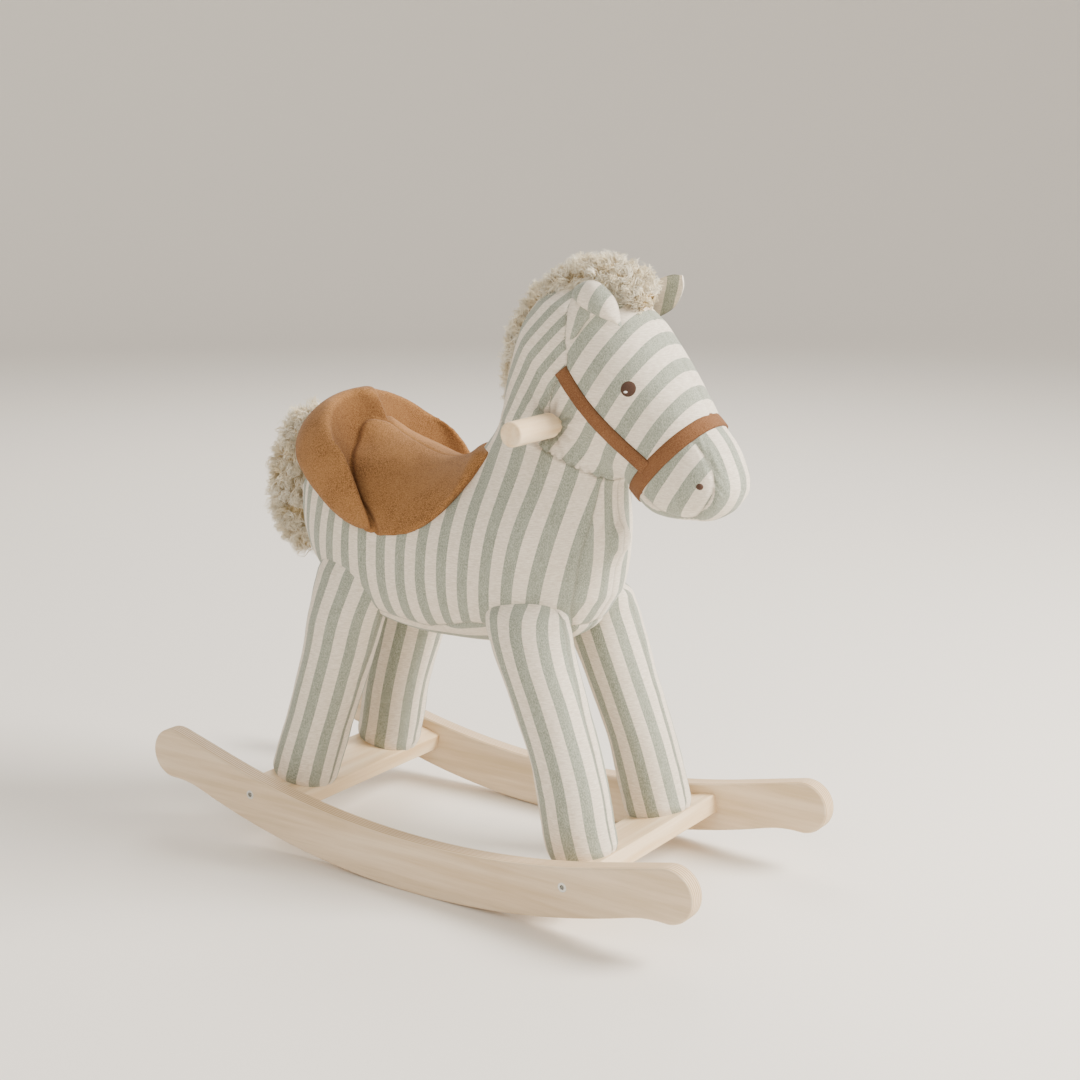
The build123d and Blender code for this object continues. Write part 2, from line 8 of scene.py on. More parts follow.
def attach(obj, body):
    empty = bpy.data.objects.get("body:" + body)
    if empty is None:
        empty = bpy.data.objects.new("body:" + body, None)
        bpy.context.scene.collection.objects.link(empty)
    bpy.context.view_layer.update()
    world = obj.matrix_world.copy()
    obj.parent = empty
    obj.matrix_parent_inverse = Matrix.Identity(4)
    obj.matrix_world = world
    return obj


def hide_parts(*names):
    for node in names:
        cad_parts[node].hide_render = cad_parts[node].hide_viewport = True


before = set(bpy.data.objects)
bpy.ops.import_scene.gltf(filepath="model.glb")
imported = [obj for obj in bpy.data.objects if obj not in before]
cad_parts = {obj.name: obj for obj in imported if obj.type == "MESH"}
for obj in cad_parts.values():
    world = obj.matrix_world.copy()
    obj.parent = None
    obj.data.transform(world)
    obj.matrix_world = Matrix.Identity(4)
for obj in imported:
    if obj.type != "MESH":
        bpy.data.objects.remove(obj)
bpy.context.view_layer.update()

# Shapes are worked out level, in millimetres: +X to the nose, +Y to the horse's
# left, +Z up, the rockers' lowest line at z = 0. level() then tilts them to the
# rest pose of the frame and turns them into metres.
MM = 0.001
REST_TILT = radians(1.264)
ROLL_RADIUS = 910.0
BULB_Z = 77.5
SIDES = {"right": -1, "left": 1}
ENDS = {"front": 1, "rear": -1}
STRIPE = 26.3                   # one green and one white stripe
NOT_A_SEAM = 60.0               # a distance at which a seam leaves no groove


def level(points):
    """Points of the level drawing, in mm, as points of the row frame, in metres."""
    p = np.asarray(points, float)
    c, s = cos(REST_TILT), sin(REST_TILT)
    x = c * p[..., 0] + s * (p[..., 2] - BULB_Z)
    z = ROLL_RADIUS - s * p[..., 0] + c * (p[..., 2] - ROLL_RADIUS)
    return np.stack([x, p[..., 1], z], -1) * MM


# ---- shape tables (mm) ------------------------------------------------------------
# torso, square to X: x, centre z, half height, half width
TORSO = [
    (-231, 382, 6, 6), (-228, 380, 29, 21), (-218, 374, 54, 42), (-200, 366, 75, 60),
    (-180, 359, 86, 71), (-160, 352, 91, 79), (-110, 342, 95, 92), (-55, 331, 91, 97),
    (5, 332, 90, 96), (60, 341, 94, 92), (100, 348, 93, 86), (122, 352, 89, 71),
    (138, 356, 79, 54), (152, 362, 61, 38), (161, 368, 38, 23), (165, 370, 6, 6),
]
# neck, square to Z: z, centre x, half length, half width
NECK = [
    (320, 95, 58, 54), (345, 96, 62, 55), (400, 92, 70, 58), (450, 93, 71, 61),
    (475, 95, 65, 59), (500, 98, 60, 57), (530, 99, 57, 54), (570, 108, 52, 50), (600, 122, 42, 40),
]
# head, square to its own axis: along, offset up, half height, half width
HEAD = [
    (-50, -5, 6, 6), (-46, -5, 26, 24), (-36, -4, 42, 38), (-18, -1, 57, 49),
    (12, 1, 68, 56), (50, 1, 74, 60), (85, -2, 73, 59), (115, -1, 67, 55),
    (145, 1, 58, 50), (167, -2.5, 57, 47), (190, -1.5, 54, 46), (210, 3, 43, 42),
    (224, 7, 32, 35), (235, 8, 19.5, 23), (240, 8, 6, 6),
]
HEAD_BACK = np.array([112.0, 0.0, 575.0])
HEAD_SLOPE = radians(42.4)
HEAD_AXIS = np.array([cos(HEAD_SLOPE), 0, -sin(HEAD_SLOPE)])
HEAD_UP = np.array([sin(HEAD_SLOPE), 0, cos(HEAD_SLOPE)])
# legs: height above the foot, shift towards the middle along X and along Y,
# half length, half width
FRONT_LEG = [
    (0, 0, 0, 34, 34), (5, 1, 0, 35.5, 35.5), (20, 5, 0, 36.5, 36.5), (80, 22, 4, 37.5, 37),
    (150, 50, 7, 40, 38), (200, 71, 8, 44, 39), (225, 81, 11, 46, 37), (238, 84, 12, 43, 33),
    (247, 87, 13, 33, 23), (253, 89, 13, 20, 13), (256, 90, 13, 6, 4),
]
REAR_LEG = [
    (0, 0, 0, 34, 34), (5, 1, 0, 36, 36), (20, 5, 1, 37, 37), (80, 21, 8, 38.5, 37),
    (150, 42, 11, 42, 38), (200, 55, 12, 46, 37), (228, 63, 14, 49, 34), (246, 67, 16, 48, 30),
    (258, 70, 17, 40, 22), (266, 72, 18, 22, 10), (269, 73, 18, 6, 4),
]
LEG_X = {"front": 180.0, "rear": -192.0}
LEG_Y = 74.0
LEG_FOOT = {"front": 61.0, "rear": 62.0}
BAR_SLOPE = radians(12.2)
# rear roll of the saddle, square to X: x, centre z, half height, half width
CANTLE = [
    (-246, 414, 5, 5), (-243, 412, 20, 18), (-236, 408, 40, 32), (-214, 403, 64, 63),
    (-190, 399, 85, 86), (-165, 396, 96, 98), (-140, 392, 99, 105), (-115, 388, 97, 108),
    (-90, 380, 92, 107), (-60, 370, 84, 104),
]
# seam between the seat and the roll: distance from the middle, x, z
ROLL_SEAM = [
    (0, -130, 461), (8, -136, 459), (16, -145, 456), (26, -150, 451), (40, -147, 442),
    (52, -140, 432), (66, -129, 419), (78, -117, 406), (88, -101, 392), (93, -86, 384),
    (104, -64, 366),
]
# top line of the seat: x, z; and the saddle's lower edge in the side view: x, z
SEAT_TOP = [
    (-175, 470), (-150, 468), (-132, 461), (-110, 446), (-88, 435), (-66, 428), (-36, 427),
    (-15, 433), (5, 444), (22, 460),
]
SADDLE_EDGE = [
    (-260, 438), (-235, 427), (-210, 418), (-185, 408), (-160, 393), (-127, 372), (-100, 361),
    (-73, 357), (-45, 361), (-20, 370), (0, 386), (20, 412), (42, 452), (60, 490),
]
# seams in the side view: chest dart as z and distance from the middle; crest seam
# as height up from the head's axis and distance along it
CHEST_DART = [
    (262, 20), (282, 32), (309, 48), (330, 49), (359, 48), (381, 43), (411, 33), (439, 24),
    (480, 12),
]
CREST_SEAM = [
    (-110, 74), (-90, 66), (-51, 50), (-35, 41), (-20, 36), (5, 28), (14, 15), (29, -2),
    (40, -12), (70, -30),
]
HANDLE = (117.5, 490.0)
HANDLE_RADIUS = 12.5
SEAM_OVERLAP = 7.0              # how far the body and the head piece run past their seam


def cubic(stations, key):
    """Smooth values through stations, whose first column is the key."""
    table = np.array(stations, float)
    keys = table[:, 0]
    values = table[:, 1:]
    slopes = np.gradient(values, keys, axis=0)
    i = np.clip(np.searchsorted(keys, key) - 1, 0, len(keys) - 2)
    gap = (keys[i + 1] - keys[i])[..., None]
    u = np.clip((key - keys[i])[..., None] / gap, 0, 1)
    return (
        (1 + 2 * u) * (1 - u) ** 2 * values[i] + u * (1 - u) ** 2 * gap * slopes[i]
        + u * u * (3 - 2 * u) * values[i + 1] + u * u * (u - 1) * gap * slopes[i + 1]
    )


# ---- implicit forms -----------------------------------------------------------------
def section_field(along, up, across, stations, power):
    """About the distance outside a form with superelliptic sections."""
    centre, half_height, half_width = np.moveaxis(cubic(stations, along), -1, 0)
    du = up - centre
    ratio = (np.abs(du / half_height) ** power + np.abs(across / half_width) ** power) ** (1 / power)
    radius = np.hypot(du, across)
    least = 0.05                # nearer the axis than this share, the depth is the half side
    outside = radius * (1 - 1 / np.maximum(ratio, least))
    distance = np.where(ratio > least, outside, -np.minimum(half_height, half_width))
    ends = np.maximum(along - stations[-1][0], stations[0][0] - along)
    return np.maximum(distance, ends)


def torso_field(x, y, z):
    return section_field(x, z, y, TORSO, 2.3)


def neck_field(x, y, z):
    return section_field(z, x, y, NECK, 2.2)


def head_coordinates(x, z):
    """Along the head's axis and up from it, for a point of the side view."""
    dx = x - HEAD_BACK[0]
    dz = z - HEAD_BACK[2]
    return dx * HEAD_AXIS[0] + dz * HEAD_AXIS[2], dx * HEAD_UP[0] + dz * HEAD_UP[2]


def head_field(x, y, z):
    along, up = head_coordinates(x, z)
    return section_field(along, up, y, HEAD, 2.15)


def blend_min(a, b, reach):
    """The union of two fields, with a fillet of about the given reach."""
    h = np.clip(0.5 + 0.5 * (b - a) / reach, 0, 1)
    return b + (a - b) * h - reach * h * (1 - h)


def blend_max(a, b, reach):
    return -blend_min(-a, -b, reach)


def seam_height(x):
    """Height of the seam between the body and the head piece, round the neck."""
    back = x - 35
    return 486 - 0.12 * back - 0.0021 * back ** 2


def horse_field(x, y, z):
    """Torso, neck and head as one form; the neck is a little fuller above its seam."""
    fuller = 2.0 * np.clip((z - seam_height(x)) / 12 + 0.5, 0, 1)
    reach = 40 + 34 * np.clip((90 - x) / 70, 0, 1)
    lower = blend_min(torso_field(x, y, z), neck_field(x, y, z) - fuller, reach)
    return blend_min(lower, head_field(x, y, z), 17)


def body_field(x, y, z):
    return np.maximum(horse_field(x, y, z), z - (seam_height(x) + SEAM_OVERLAP))


def headpiece_field(x, y, z):
    return np.maximum(horse_field(x, y, z), seam_height(x) - SEAM_OVERLAP - z)


def sampled(field, low, high, step):
    """The field's values on a grid between two corners."""
    axes = [np.arange(a, b + step, step) for a, b in zip(low, high)]
    grid = np.meshgrid(*axes, indexing="ij")
    return field(*grid)


def net(values, low, step):
    """Quads on the zero surface of sampled values: one vertex per crossed cell."""
    inside = values < 0
    shape = np.array(values.shape) - 1
    total = np.zeros(shape)
    points = np.zeros((*shape, 3))
    corner = [(i, j, k) for i in (0, 1) for j in (0, 1) for k in (0, 1)]

    def block(array, c):
        return array[c[0]:c[0] + shape[0], c[1]:c[1] + shape[1], c[2]:c[2] + shape[2]]

    for axis in range(3):
        for c in corner:
            if c[axis]:
                continue
            d = tuple(1 if a == axis else c[a] for a in range(3))
            va, vb = block(values, c), block(values, d)
            cross = (va < 0) != (vb < 0)
            share = np.where(cross, va / np.where(cross, va - vb, 1), 0)
            total += cross
            for a in range(3):
                points[..., a] += cross * (c[a] + (share if a == axis else 0))
    used = total > 0
    index = np.full(shape, -1)
    index[used] = np.arange(used.sum())
    verts = points[used] / total[used][:, None] + np.argwhere(used)
    quads = []
    for axis in range(3):
        b, c = [a for a in range(3) if a != axis]
        lo = [slice(None)] * 3
        hi = [slice(None)] * 3
        lo[axis], hi[axis] = slice(0, -1), slice(1, None)
        a_in, b_in = inside[tuple(lo)], inside[tuple(hi)]
        cells = np.argwhere(a_in != b_in)
        keep = (cells[:, b] > 0) & (cells[:, c] > 0) & (cells[:, b] < shape[b]) & (cells[:, c] < shape[c])
        cells = cells[keep]
        flip = a_in[tuple(cells.T)] if axis != 1 else ~a_in[tuple(cells.T)]
        ring = []
        for db, dc in ((0, 0), (-1, 0), (-1, -1), (0, -1)):
            cell = cells.copy()
            cell[:, b] += db
            cell[:, c] += dc
            ring.append(index[tuple(cell.T)])
        ring = np.stack(ring, 1)
        quads.append(np.where(flip[:, None], ring, ring[:, ::-1]))
    return verts * step + np.array(low, float), np.concatenate(quads)


SMOOTHING = 0.5
SPREADING = -0.51


def relax(verts, faces, rounds):
    """Evens out a mesh without shrinking it: each smoothing is followed by a spread."""
    edges = np.concatenate([faces[:, [i, (i + 1) % faces.shape[1]]] for i in range(faces.shape[1])])
    count = np.bincount(edges.ravel(), minlength=len(verts))[:, None]
    for step in range(rounds):
        total = np.zeros_like(verts)
        np.add.at(total, edges[:, 0], verts[edges[:, 1]])
        np.add.at(total, edges[:, 1], verts[edges[:, 0]])
        factor = SMOOTHING if step % 2 == 0 else SPREADING
        verts = verts + (total / count - verts) * factor
    return verts


def normals_of(verts, faces):
    """Vertex normals of a quad mesh."""
    a = verts[faces[:, 2]] - verts[faces[:, 0]]
    b = verts[faces[:, 3]] - verts[faces[:, 1]]
    across = np.cross(a, b)
    total = np.zeros_like(verts)
    for i in range(4):
        np.add.at(total, faces[:, i], across)
    return total / np.maximum(np.linalg.norm(total, axis=1), 1e-9)[:, None]


def make_mesh(name, verts, faces):
    """A mesh from points and from faces, which are an array of quads or a list."""
    mesh = bpy.data.meshes.new(name)
    faces = faces.tolist() if isinstance(faces, np.ndarray) else faces
    mesh.from_pydata(np.asarray(verts, float).tolist(), [], faces)
    mesh.update()
    return mesh


def refined(verts, faces):
    """The mesh after one level of subdivision-surface refinement, as arrays."""
    scratch = bpy.data.objects.new("scratch", make_mesh("scratch", verts, faces))
    bpy.context.scene.collection.objects.link(scratch)
    subsurf = scratch.modifiers.new("subsurf", "SUBSURF")
    subsurf.levels = 1
    evaluated = scratch.evaluated_get(bpy.context.evaluated_depsgraph_get())
    mesh = evaluated.to_mesh()
    co = np.empty(len(mesh.vertices) * 3)
    mesh.vertices.foreach_get("co", co)
    loops = np.empty(len(mesh.loops), int)
    mesh.loops.foreach_get("vertex_index", loops)
    evaluated.to_mesh_clear()
    bpy.data.objects.remove(scratch)
    return co.reshape(-1, 3), loops.reshape(-1, 4)


def soft_form(field, low, high, step, rounds):
    """An even, fine mesh on the field's zero surface, with its vertex normals."""
    verts, faces = net(sampled(field, low, high, step), low, step)
    verts, faces = refined(relax(verts, faces, rounds), faces)
    return verts, faces, normals_of(verts, faces)


def ripple(points, size, seed):
    """Smooth noise from -1 to 1 over points, with features of the given size."""
    shift = Vector((seed, seed * 1.7, -seed * 0.6))
    return np.array([noise.noise(Vector(p) / size + shift) for p in points])


def bump_at(distance, width):
    return np.exp(-((distance / width) ** 2))


# ---- materials ------------------------------------------------------------------------
class Shader:
    """A node material and short ways to add nodes to it."""

    def __init__(self, name):
        self.material = bpy.data.materials.new(name)
        self.material.use_nodes = True
        self.nodes = self.material.node_tree.nodes
        self.links = self.material.node_tree.links
        self.bsdf = self.nodes["Principled BSDF"]

    def node(self, kind, inputs=(), **settings):
        made = self.nodes.new(kind)
        for key, value in settings.items():
            setattr(made, key, value)
        for key, value in dict(inputs).items():
            self.put(made.inputs[key], value)
        return made

    def put(self, socket, value):
        if isinstance(value, bpy.types.NodeSocket):
            self.links.new(value, socket)
        else:
            socket.default_value = value

    def math(self, operation, a, b=0.0, clamp=False):
        made = self.nodes.new("ShaderNodeMath")
        made.operation = operation
        made.use_clamp = clamp
        self.put(made.inputs[0], a)
        self.put(made.inputs[1], b)
        return made.outputs[0]

    def ramp(self, value, low, high):
        """0 below low, 1 above high, smooth between."""
        made = self.node("ShaderNodeMapRange", {"Value": value, "From Min": low, "From Max": high})
        made.interpolation_type = "SMOOTHSTEP"
        return made.outputs["Result"]

    def mix(self, share, a, b):
        made = self.nodes.new("ShaderNodeMix")
        made.data_type = "RGBA"
        self.put(made.inputs[0], share)
        self.put(made.inputs[6], a)
        self.put(made.inputs[7], b)
        return made.outputs[2]

    def scaled(self, scale):
        """The place on the object, stretched by scale along each axis."""
        place = self.node("ShaderNodeNewGeometry").outputs["Position"]
        return self.node("ShaderNodeVectorMath", {0: place, 1: scale}, operation="MULTIPLY").outputs[0]

    def noise(self, scale, vector=None, detail=3.0, rough=0.55):
        made = self.node("ShaderNodeTexNoise", {"Scale": scale, "Detail": detail, "Roughness": rough})
        place = vector or self.node("ShaderNodeNewGeometry").outputs["Position"]
        self.links.new(place, made.inputs["Vector"])
        return made.outputs["Fac"]

    def parts(self, vector):
        """The three numbers of a vector."""
        return self.node("ShaderNodeSeparateXYZ", {0: vector}).outputs

    def attribute(self, name):
        """The three numbers of a vector stored on the mesh."""
        return self.parts(self.node("ShaderNodeAttribute", attribute_name=name).outputs["Vector"])

    def bump(self, height, strength, distance):
        made = self.node("ShaderNodeBump", {"Height": height, "Strength": strength, "Distance": distance})
        self.links.new(made.outputs["Normal"], self.bsdf.inputs["Normal"])

    def finish(self, color=None, roughness=0.8, sheen=0.0, specular=0.3):
        if color is not None:
            self.put(self.bsdf.inputs["Base Color"], color)
        self.put(self.bsdf.inputs["Roughness"], roughness)
        self.bsdf.inputs["Sheen Weight"].default_value = sheen
        self.bsdf.inputs["Specular IOR Level"].default_value = specular
        return self.material


def rgb(red, green, blue):
    """A colour given as it looks on a screen, 0 to 255, as the linear one a shader takes."""
    return tuple((c / 255) ** 2.2 for c in (red, green, blue)) + (1.0,)


THREAD_PITCH = 0.9              # mm, of the linen's weave
PLY_THICKNESS = 0.0031          # m


def striped_linen():
    """Woven stripes. Attribute 'cloth' holds two stripe coordinates and which one
    counts; attribute 'thread' holds the coordinate along the stripes and painted shade in seams and folds."""
    s = Shader("striped_linen")
    stripe_a, stripe_b, sign = s.attribute("cloth")
    along, painted_hollow_shade, _ = s.attribute("thread")
    panel = s.math("GREATER_THAN", sign, 0.0)
    first = s.math("MULTIPLY", stripe_a, s.math("SUBTRACT", 1.0, panel))
    coordinate = s.math("ADD", first, s.math("MULTIPLY", stripe_b, panel))
    fray = s.math("SUBTRACT", s.noise(1300.0), 0.5)
    edge = s.math("ADD", coordinate, fray)
    phase = s.math("FRACT", s.math("DIVIDE", edge, STRIPE))
    wave = s.math("ABSOLUTE", s.math("SUBTRACT", phase, 0.5))
    green = s.math("SUBTRACT", 1.0, s.ramp(wave, 0.232, 0.246))
    across_wave = s.math("SINE", s.math("MULTIPLY", coordinate, 2 * pi / THREAD_PITCH))
    along_wave = s.math("SINE", s.math("MULTIPLY", along, 2 * pi / THREAD_PITCH))
    weave = s.math("MULTIPLY", across_wave, along_wave)
    flecks = s.noise(1200.0, s.scaled((1.0, 1.0, 0.45)), detail=4.0, rough=0.7)
    heather = s.ramp(flecks, 0.32, 0.68)
    broad = s.noise(140.0, s.scaled((1.0, 1.0, 0.3)), detail=3.0)
    slub = s.noise(700.0, s.scaled((0.25, 0.25, 1.6)), detail=2.0)
    green_cloth = s.mix(heather, rgb(114, 121, 108), rgb(174, 177, 162))
    green_cloth = s.mix(s.math("MULTIPLY", s.ramp(broad, 0.4, 0.75), 0.3), green_cloth, rgb(172, 176, 162))
    white_cloth = s.mix(s.ramp(slub, 0.3, 0.75), rgb(214, 202, 184), rgb(240, 230, 214))
    dark_flecks = s.math("MULTIPLY", s.ramp(flecks, 0.5, 0.68), 0.35)
    white_cloth = s.mix(dark_flecks, white_cloth, rgb(186, 172, 152))
    color = s.mix(green, white_cloth, green_cloth)
    # painted shade: seams, folds and hollows darkened towards a dark grey-brown
    painted_shade = s.math("MULTIPLY", painted_hollow_shade, 0.62)
    color = s.mix(painted_shade, color, rgb(98, 88, 74))
    s.bump(s.math("ADD", s.math("MULTIPLY", weave, 0.5), flecks), 0.35, 0.0004)
    return s.finish(color, 0.92, sheen=0.25, specular=0.15)


def suede(name, dark, light, grain):
    s = Shader(name)
    fine = s.noise(grain, detail=6.0, rough=0.75)
    broad = s.noise(22.0, detail=2.0)
    color = s.mix(s.ramp(fine, 0.38, 0.62), dark, light)
    color = s.mix(s.math("MULTIPLY", s.ramp(broad, 0.35, 0.7), 0.35), color, light)
    # painted shade from the 'thread' attribute, darkening seams, creases and strap edges
    color = s.mix(s.math("MULTIPLY", s.attribute("thread")[1], 0.75), color, rgb(62, 36, 20))
    s.bump(fine, 0.5, 0.0006)
    return s.finish(color, 0.95, sheen=0.06, specular=0.1)


def plush():
    """Fur. Attribute 'lock' holds root to tip, a shade for each lock, and 0."""
    s = Shader("curly_plush")
    root_to_tip, shade, _ = s.attribute("lock")
    tip = s.mix(shade, rgb(236, 222, 188), rgb(254, 248, 230))
    # darker tan towards the roots: partly the plush's own colour, partly painted shade deep in the pile
    color = s.mix(s.ramp(root_to_tip, 0.0, 0.75), rgb(206, 182, 136), tip)
    return s.finish(color, 0.75, sheen=0.3, specular=0.2)


def plywood():
    """Birch plywood: pale grained faces, and plies seen on the edges."""
    s = Shader("birch_plywood")
    grain = s.noise(60.0, s.scaled((0.06, 1.0, 1.0)), detail=5.0, rough=0.6)
    fine = s.noise(500.0, s.scaled((0.04, 1.0, 1.0)), detail=3.0)
    face = s.mix(s.ramp(grain, 0.32, 0.7), rgb(224, 204, 176), rgb(200, 176, 142))
    face = s.mix(s.math("MULTIPLY", s.ramp(fine, 0.5, 0.8), 0.25), face, rgb(190, 158, 116))
    geometry = s.node("ShaderNodeNewGeometry").outputs
    across = s.parts(geometry["Position"])[1]
    ply = s.math("FRACT", s.math("MULTIPLY", across, 1 / PLY_THICKNESS))
    from_middle = s.math("ABSOLUTE", s.math("SUBTRACT", ply, 0.5))
    layer = s.math("SUBTRACT", 1.0, s.ramp(from_middle, 0.2, 0.3))
    endgrain = s.mix(layer, rgb(226, 203, 168), rgb(180, 142, 98))
    facing = s.math("ABSOLUTE", s.parts(geometry["Normal"])[1])
    on_edge = s.math("SUBTRACT", 1.0, s.ramp(facing, 0.35, 0.8))
    color = s.mix(s.math("MULTIPLY", on_edge, 0.75), face, endgrain)
    s.bump(grain, 0.08, 0.001)
    return s.finish(color, s.math("ADD", 0.42, s.math("MULTIPLY", fine, 0.2)), specular=0.35)


def wood(name, light, dark, stretch):
    s = Shader(name)
    grain = s.noise(90.0, s.scaled(stretch), detail=5.0, rough=0.6)
    color = s.mix(s.ramp(grain, 0.3, 0.72), light, dark)
    s.bump(grain, 0.08, 0.001)
    return s.finish(color, 0.45, specular=0.35)


def steel():
    s = Shader("steel")
    s.bsdf.inputs["Metallic"].default_value = 1.0
    scratch = s.noise(700.0)
    return s.finish(s.mix(scratch, rgb(188, 188, 184), rgb(214, 214, 210)), 0.32)


def thread_material(name, dark, light):
    """Satin-stitch embroidery: fine parallel threads."""
    s = Shader(name)
    lines = s.noise(1500.0, s.scaled((1.0, 1.0, 0.25)), detail=2.0)
    s.bump(lines, 0.5, 0.0003)
    return s.finish(s.mix(lines, dark, light), 0.6, specular=0.3)


MATERIALS = {
    "linen": striped_linen(),
    "suede": suede("brown_suede", rgb(96, 66, 40), rgb(164, 120, 78), 900.0),
    "strap": suede("strap_suede", rgb(92, 62, 42), rgb(134, 96, 68), 1200.0),
    "plush": plush(),
    "ply": plywood(),
    "bar": wood("solid_wood", rgb(240, 218, 184), rgb(222, 190, 146), (1.0, 0.05, 1.0)),
    "inner": wood("inner_wood", rgb(214, 184, 140), rgb(188, 152, 106), (1.0, 1.0, 0.06)),
    "steel": steel(),
    "eye": thread_material("brown_thread", rgb(58, 40, 32), rgb(86, 62, 50)),
    "highlight": thread_material("white_thread", rgb(235, 232, 226), rgb(250, 248, 244)),
}


# ---- pieces -----------------------------------------------------------------------------
def piece(name, verts, faces, material, attributes=()):
    """A finished piece from level points: it rides on the horse's one body."""
    mesh = make_mesh(name, level(verts), faces)
    for key, values in dict(attributes).items():
        layer = mesh.attributes.new(key, "FLOAT_VECTOR", "POINT")
        layer.data.foreach_set("vector", np.asarray(values, np.float32).ravel())
    mesh.materials.append(MATERIALS[material])
    mesh.shade_smooth()
    made = bpy.data.objects.new(name, mesh)
    bpy.context.scene.collection.objects.link(made)
    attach(made, "root")
    return made


def thread_attribute(along, painted_shade):
    """What the 'thread' attribute holds: place along the threads, painted shade, and 0."""
    return np.stack([along, np.clip(painted_shade, 0, 1), np.zeros_like(along)], 1)


def cloth_attributes(stripe_a, stripe_b, panel, along, painted_shade):
    """Where panel is above 0, the second stripe coordinate counts."""
    return {
        "cloth": np.stack([stripe_a, stripe_b, panel], 1),
        "thread": thread_attribute(along, painted_shade),
    }


def tube_faces(rows, around, closed=False):
    """Quads between neighbouring rings of points; closed joins the last to the first."""
    quads = []
    for r in range(rows if closed else rows - 1):
        low = r * around
        high = (r + 1) % rows * around
        for a in range(around):
            b = (a + 1) % around
            quads.append((low + a, low + b, high + b, high + a))
    return quads


def along_line(line, key):
    """Value at key on a line of (key, value) points."""
    return cubic(line, key)[..., 0]


def green_at(coordinate, centre):
    """A stripe coordinate shifted so that a green stripe is centred on the given value."""
    return coordinate - centre + STRIPE / 2


def body_stripes(x, y, z):
    """Stripe coordinate of the side panels: upright, leaning a little at both ends,
    and measured along the cloth where it turns round the rump and the neck's back."""
    lean = 0.2 * np.clip((x - 5) / 110, 0, 1) + 0.2 * np.clip((-100 - x) / 60, 0, 1)
    rump = np.clip((-185 - x) / 15, 0, 1) * np.clip(70 - np.abs(y), 0, 70)
    neck = np.clip((60 - x) / 22, 0, 1) * np.clip((z - 425) / 25, 0, 1) * np.clip(48 - np.abs(y), 0, 48)
    return green_at(x - lean * (z - 340) - 0.85 * (rump + neck), -13.2)


def make_body():
    low, high = (-240, -104, 232), (182, 104, 500)
    verts, faces, normal = soft_form(body_field, low, high, 4.0, 6)
    x, y, z = verts.T
    side = np.abs(y)
    chest = np.where(x > 100, along_line(CHEST_DART, z) - side, -50)
    belly_seam = 262 + 0.3 * np.clip(x + 20, 0, 60) + 0.075 * np.clip(-20 - x, 0, 200)
    belly = belly_seam - z
    middle = np.where(x > 120, side, NOT_A_SEAM)
    rump = np.where(x < -150, side, NOT_A_SEAM)
    depth = 1.3 * bump_at(chest, 2.4) + 1.3 * bump_at(belly, 2.2)
    depth += 1.3 * bump_at(middle, 2.2) + 1.2 * bump_at(rump, 2.2)
    puff = 0.9 * ripple(verts, 60.0, 3.0) + 0.35 * ripple(verts, 24.0, 9.0)
    over = z - seam_height(x)
    drawn = np.exp(-np.abs(over) / 9) * np.sin(x * 0.55 + 3 * ripple(verts, 30.0, 7.0))
    depth += 0.8 * np.clip(over + 1.8, 0, 14)
    verts = verts + normal * (puff - depth + 0.5 * drawn)[:, None]
    stripes = body_stripes(x, y, z)
    front = green_at(side * 1.02, 17.5)
    under = side - 68
    other = np.where(belly > 0, under, front)
    # painted shade along the chest dart, the belly and middle seams and the seam under the head piece
    painted_shade = 0.45 * bump_at(chest, 0.9) + 0.5 * bump_at(belly, 0.9) + 0.5 * bump_at(middle, 0.9)
    painted_shade += 0.7 * bump_at(over, 1.2)
    made = piece(
        "body", verts, faces, "linen",
        cloth_attributes(stripes, other, np.maximum(chest, belly), z, painted_shade),
    )
    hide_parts("body_cover_right", "body_cover_left", "body_stuffing")


